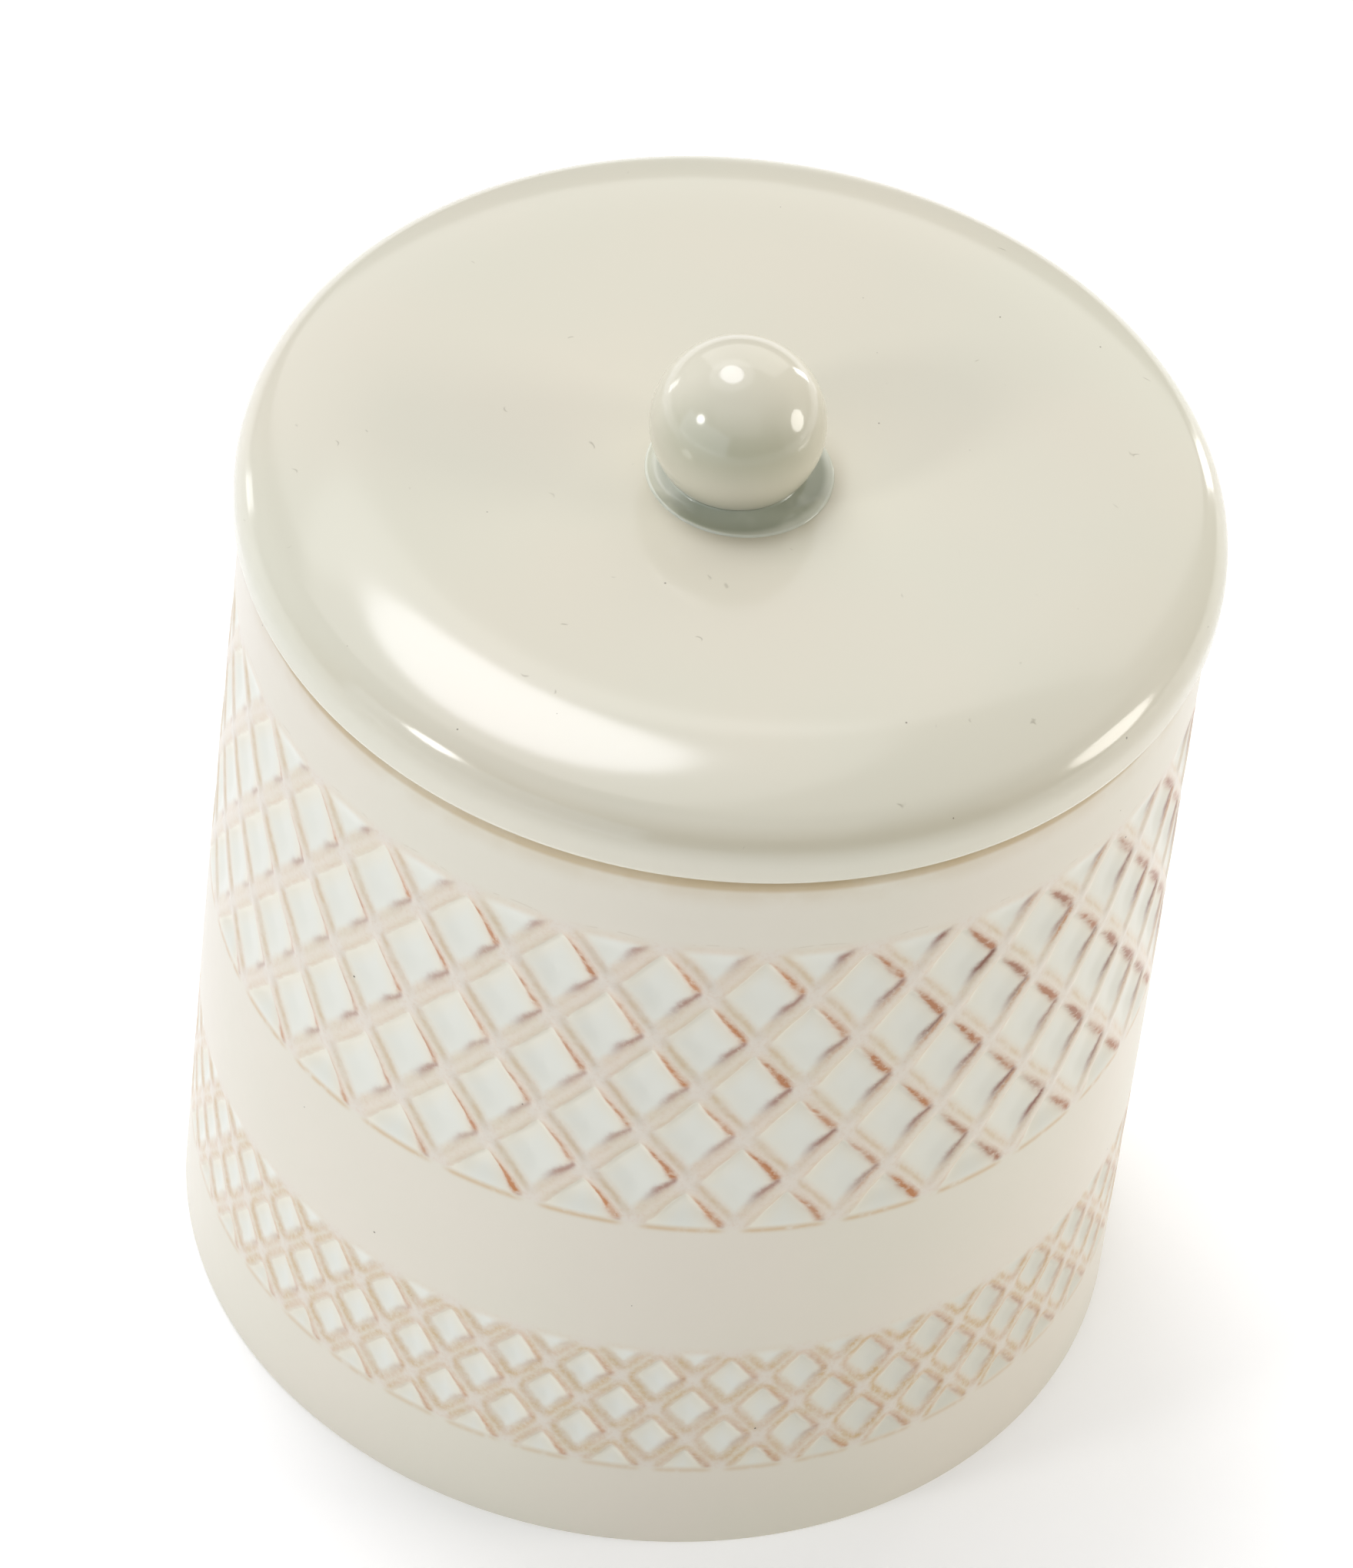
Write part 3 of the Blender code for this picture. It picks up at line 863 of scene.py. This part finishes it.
def border_lines(cells, glaze):
    """A broken hairline above the cells of the top row, and tan stain below the cells of the bottom row."""
    finish, band = cells.finish, cells.band
    patchy = finish.grain(BORDER_PATCH_SIZE, detail=3, offset=7.0)
    column = (finish.angle - band.turn) * (band.columns / math.pi)
    top_place = from_middle(column * 0.5)
    bow = top_place * top_place * HAIRLINE_BOW
    hair = (cells.from_top - bow + HAIRLINE_RISE).bell(0.0, HAIRLINE_WIDTH) * top_place.rise(0.62, 0.40)
    glaze = finish.mix(hair * patchy.rise(0.45, 0.58) * cells.looks.hairline, glaze, HAIRLINE)
    low_place = from_middle(column * 0.5 + (band.half_rows % 2) / 2)
    under = (cells.from_bottom + UNDER_STAIN_DROP).bell(0.0, UNDER_STAIN_WIDTH) * low_place.rise(0.95, 0.60)
    return finish.mix(under * patchy.rise(0.22, 0.52) * cells.looks.border, glaze, OCHRE)


def lattice_colours(finish, band, looks, base):
    """The base colour with one band's lattice over it."""
    cells = Cells(finish, band, looks)
    glaze = lattice_glaze(cells)
    for stain in (halo_stained, left_stained, rusted, mauve_stained):
        glaze = stain(cells, glaze)
    return border_lines(cells, finish.mix(cells.inside(), base, glaze))


# The plain glaze's clouds, ripple and specks (their spacing, radius and share), the soft start of the outside
# at the rim, and the stain and painted shade under the lid: a line at the rim and a smear below it, both from
# the jar's top
JAR_CLOUD_SIZE = 0.03
OUTSIDE_EDGE = 0.0002
RIM_LINE_EDGE = (-0.0018, -0.0012)
RIM_SMEAR_AND_SHADE_EDGE = (-0.0048, -0.0015)
RIM_SMEAR_AND_SHADE_SIZE = 0.005
JAR_SPECKS = (0.005, 0.00016, 0.35)
JAR_RIPPLE_SIZE = 0.004
JAR_RIPPLE_DEPTH = 0.00004


def jar_finish():
    finish = Finish("jar_glaze")
    base = finish.mix(finish.grain(JAR_CLOUD_SIZE, detail=3).rise(0.35, 0.65), PLAIN_GLAZE, PLAIN_GLAZE_PINK)
    dressed = lattice_colours(finish, UPPER, UPPER_LOOKS, base)
    dressed = lattice_colours(finish, LOWER, LOWER_LOOKS, dressed)
    rim_middle = MOUTH_RADIUS - WALL_THICKNESS / 2
    colour = finish.mix(finish.radius.rise(rim_middle, rim_middle + OUTSIDE_EDGE), base, dressed)
    below_rim = finish.z - JAR_TOP
    # Under the lid the wall turns browner: partly a stain at the rim, partly painted shade under the lid's
    # overhang
    smear_and_shade = finish.grain(RIM_SMEAR_AND_SHADE_SIZE, detail=4).rise(0.20, 0.65)
    under_lid = below_rim.rise(*RIM_LINE_EDGE) * 0.42 + below_rim.rise(*RIM_SMEAR_AND_SHADE_EDGE) * smear_and_shade * 0.22
    colour = finish.mix(under_lid, colour, RIM_STAIN_AND_SHADE)
    colour = finish.mix(finish.specks(*JAR_SPECKS), colour, SPECK)
    finish.colour(colour)
    finish.bump(finish.grain(JAR_RIPPLE_SIZE, detail=2), JAR_RIPPLE_DEPTH)
    finish.set(Roughness=0.28, Specular_IOR_Level=0.5)
    return finish.material


def knob_place(finish):
    """How far a point lies to the right of the knob's axis, behind it, and from it in all."""
    sideways = finish.x + KNOB_LEFT
    behind = finish.y + KNOB_FORWARD
    return sideways, behind, (sideways * sideways + behind * behind).math("SQRT")


# The lid's specks and hairs, the painted shadow beside the knob, the band of painted shade low on the front
# edge, and the ripple
LID_CLOUD_SIZE = 0.04
LID_SPECKS = (0.008, 0.0002, 0.4)
LID_FINE_SPECKS = (0.0033, 0.00014, 0.5)
KNOB_SHADOW_EDGE = (0.0132, 0.0102)
LID_SHADE_BAND_HEIGHT = 0.1137
LID_SHADE_BAND_WIDTH = 0.0014
HAIR_CURL_SIZE = 0.0016
HAIR_SPOTS = (0.0045, 0.0006, 0.8)
LID_RIPPLE_SIZE = 0.012
LID_RIPPLE_DEPTH = 0.00003


def lid_finish():
    finish = Finish("lid_glaze")
    colour = finish.mix(finish.grain(LID_CLOUD_SIZE, detail=2).rise(0.3, 0.7), LID_GLAZE, LID_GLAZE_COOL)
    colour = finish.mix(finish.specks(*LID_SPECKS), colour, SPECK)
    colour = finish.mix(finish.specks(*LID_FINE_SPECKS, offset=2.0) * 0.75, colour, SPECK)
    sideways, behind, reach = knob_place(finish)
    # Painted shadow of the knob on the lid, just outside its glaze ring to the right and front
    side = ((sideways * 0.75 - behind * 0.65) / reach).rise(0.0, 0.9)
    colour = finish.mix(reach.rise(*KNOB_SHADOW_EDGE) * side * 0.45, colour, KNOB_PAINTED_SHADOW)
    front = (-behind / reach).rise(0.3, 1.0)
    # A band of painted shade low on the lid's front edge, strongest at the front
    colour = finish.mix(finish.z.bell(LID_SHADE_BAND_HEIGHT, LID_SHADE_BAND_WIDTH) * front * 0.40, colour, LID_PAINTED_SHADE)
    curl = finish.grain(HAIR_CURL_SIZE, detail=0, offset=5.0).bell(0.5, 0.03)
    colour = finish.mix(curl * finish.specks(*HAIR_SPOTS, offset=9.0) * 0.55, colour, HAIR)
    finish.colour(colour)
    finish.bump(finish.grain(LID_RIPPLE_SIZE, detail=1), LID_RIPPLE_DEPTH)
    finish.set(Roughness=0.13, Specular_IOR_Level=0.5)
    return finish.material


# The painted shade on the ball's front, and the pooled glaze: its top, its pale rim and its unevenness
KNOB_SHADE_RISE = 0.0105
KNOB_SHADE_SPREAD = 0.0036
GLAZE_RING_TOP_EDGE = (0.0016, 0.0009)
GLAZE_RING_RIM_EDGE = (0.0096, 0.0106)
GLAZE_RING_CLOUD_SIZE = 0.004
KNOB_RIPPLE_SIZE = 0.008
KNOB_RIPPLE_DEPTH = 0.00002


def knob_finish():
    finish = Finish("knob_glaze")
    rise = finish.z - LID_CENTRE_HEIGHT
    sideways, behind, reach = knob_place(finish)
    front = (-behind / reach).rise(0.25, 1.0)
    # Painted shade across the front of the ball, darkest a little above its middle
    ball = finish.mix(rise.bell(KNOB_SHADE_RISE, KNOB_SHADE_SPREAD) * front, KNOB_GLAZE, KNOB_PAINTED_SHADE)
    # The pooled glaze is pale towards the knob's left and back: painted light. Its darker celadon elsewhere
    # is the glaze's tint, partly darkened as painted shade
    left = (sideways / reach * -0.9 + behind / reach * 0.3).rise(0.0, 0.8)
    pale = (left + finish.grain(GLAZE_RING_CLOUD_SIZE, detail=2).rise(0.45, 0.75) * 0.4).least(1.0)
    pool = finish.mix(pale, CELADON_AND_SHADE, CELADON_PALE_AND_LIT)
    pool = finish.mix(reach.rise(*GLAZE_RING_RIM_EDGE) * 0.6, pool, CELADON_PALE_AND_LIT)
    finish.colour(finish.mix(rise.rise(*GLAZE_RING_TOP_EDGE), ball, pool))
    finish.bump(finish.grain(KNOB_RIPPLE_SIZE, detail=1), KNOB_RIPPLE_DEPTH)
    finish.set(Roughness=0.11, Specular_IOR_Level=0.5)
    return finish.material


LIGHT_TARGET = Vector((0, 0, 0.12))
LIGHT_DISTANCE = 1.2

# Each light's direction from the lid, its width and height, its power, its tint and its shape
Light = namedtuple("Light", "direction size power tint shape")
WHITE = (1.0, 1.0, 1.0)
BLUISH = (1.0, 1.0, 1.08)
COOL = (0.90, 1.0, 1.16)
WARM = (1.03, 1.0, 0.94)
LIGHTS = {
    "overhead_softbox": Light((-0.235, 0.311, 0.942), (0.52, 0.60), 5.0, BLUISH, "ELLIPSE"),
    "overhead_halo": Light((-0.240, 0.300, 0.942), (1.1, 1.1), 3.5, WHITE, "ELLIPSE"),
    "back_panel": Light((0.0, 0.8, 0.6), (1.6, 1.0), 5.4, WHITE, "RECTANGLE"),
    "left_panel": Light((-0.68, -0.73, 0.07), (1.6, 1.0), 6.5, COOL, "RECTANGLE"),
    "left_back_strip": Light((-0.846, 0.522, -0.05), (0.15, 0.40), 0.8, WHITE, "RECTANGLE"),
    "right_panel": Light((0.96, -0.05, 0.22), (1.1, 0.8), 1.3, WARM, "RECTANGLE"),
    "right_back_strip": Light((0.567, 0.82, -0.03), (0.12, 0.45), 1.4, WHITE, "RECTANGLE"),
    "right_soft": Light((0.978, 0.019, 0.205), (0.46, 0.46), 4.3, WARM, "ELLIPSE"),
    "front_dish": Light((-0.757, -0.492, 0.43), (0.24, 0.24), 2.3, WHITE, "ELLIPSE"),
    "front_high": Light((0.0, -0.7, 0.7), (1.4, 0.8), 1.5, WARM, "RECTANGLE"),
}
WORLD_STRENGTH = 0.17


def add_light(name, light):
    """A flat soft light that faces the lid from its direction."""
    data = bpy.data.lights.new(name, "AREA")
    data.shape = light.shape
    data.size, data.size_y = light.size
    data.energy = light.power
    data.color = light.tint
    lamp = bpy.data.objects.new(name, data)
    bpy.context.scene.collection.objects.link(lamp)
    towards = Vector(light.direction).normalized()
    lamp.location = LIGHT_TARGET + towards * LIGHT_DISTANCE
    lamp.rotation_euler = towards.to_track_quat("Z", "Y").to_euler()


def make_lights():
    for name, light in LIGHTS.items():
        add_light(name, light)


def make_world():
    world = bpy.data.worlds.new("studio")
    bpy.context.scene.world = world
    world.use_nodes = True
    background = world.node_tree.nodes["Background"]
    background.inputs["Color"].default_value = (1, 1, 1, 1)
    background.inputs["Strength"].default_value = WORLD_STRENGTH


# The floor lies just under the foot and glows faintly, more so far away, where it fades into the backdrop
FLOOR_SIZE = 6.0
FLOOR_DROP = 0.0001
FLOOR_GREY = (0.95, 0.95, 0.95, 1)
PURE_WHITE = (1, 1, 1, 1)
BLACK = (0, 0, 0, 1)
FLOOR_GLOW = 0.21
FLOOR_FAR_GLOW = 0.6
FLOOR_FAR_EDGE = (0.8, 2.0)
BACKDROP_RADIUS = FLOOR_SIZE / 2 - 0.1
BACKDROP_STEPS = 48


def make_floor():
    mesh = bpy.data.meshes.new("floor")
    half = FLOOR_SIZE / 2
    corners = [(x * half, y * half, -FLOOR_DROP) for x, y in ((-1, -1), (1, -1), (1, 1), (-1, 1))]
    mesh.from_pydata(corners, [], [(0, 1, 2, 3)])
    floor = bpy.data.objects.new("floor", mesh)
    bpy.context.scene.collection.objects.link(floor)
    finish = Finish("floor_paper")
    glow = finish.radius.rise(*FLOOR_FAR_EDGE) * FLOOR_FAR_GLOW + FLOOR_GLOW
    finish.set(Base_Color=FLOOR_GREY, Roughness=0.8, Emission_Color=PURE_WHITE, Emission_Strength=glow)
    mesh.materials.append(finish.material)


def make_backdrop():
    """A pale dome round the whole studio. Only the camera sees it, so it adds no light and no reflections."""
    outline = arc((0, 0), BACKDROP_RADIUS, math.pi / 2, -math.pi / 2)
    dome = ring_mesh("backdrop", *turned(outline, BACKDROP_STEPS), angles_round(BACKDROP_STEPS))
    finish = Finish("backdrop_paper")
    finish.set(Base_Color=BLACK, Emission_Color=PURE_WHITE, Emission_Strength=1.0)
    dome.data.materials.append(finish.material)
    dome.visible_diffuse = dome.visible_glossy = dome.visible_transmission = dome.visible_shadow = False


def make_camera():
    data = bpy.data.cameras.new("camera")
    data.lens = CAMERA_LENS_MM
    data.sensor_width = SENSOR_MM
    camera = bpy.data.objects.new("camera", data)
    bpy.context.scene.collection.objects.link(camera)
    turn = Matrix((CAMERA_RIGHT, -CAMERA_DOWN, -CAMERA_FORWARD)).transposed()
    camera.matrix_world = Matrix.Translation(CAMERA_PLACE) @ turn.to_4x4()
    bpy.context.scene.camera = camera


def dress(piece, material, body, node):
    """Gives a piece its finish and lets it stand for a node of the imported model."""
    piece.data.materials.append(material)
    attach(piece, body)
    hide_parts(node)


def make_object():
    dress(make_jar(), jar_finish(), "jar", "jar_body")
    dress(make_lid(), lid_finish(), "cover", "lid")
    dress(make_knob(), knob_finish(), "cover", "lid_knob")


make_object()
make_floor()
make_backdrop()
make_world()
make_lights()
make_camera()
bpy.context.scene.view_settings.view_transform = "Standard"
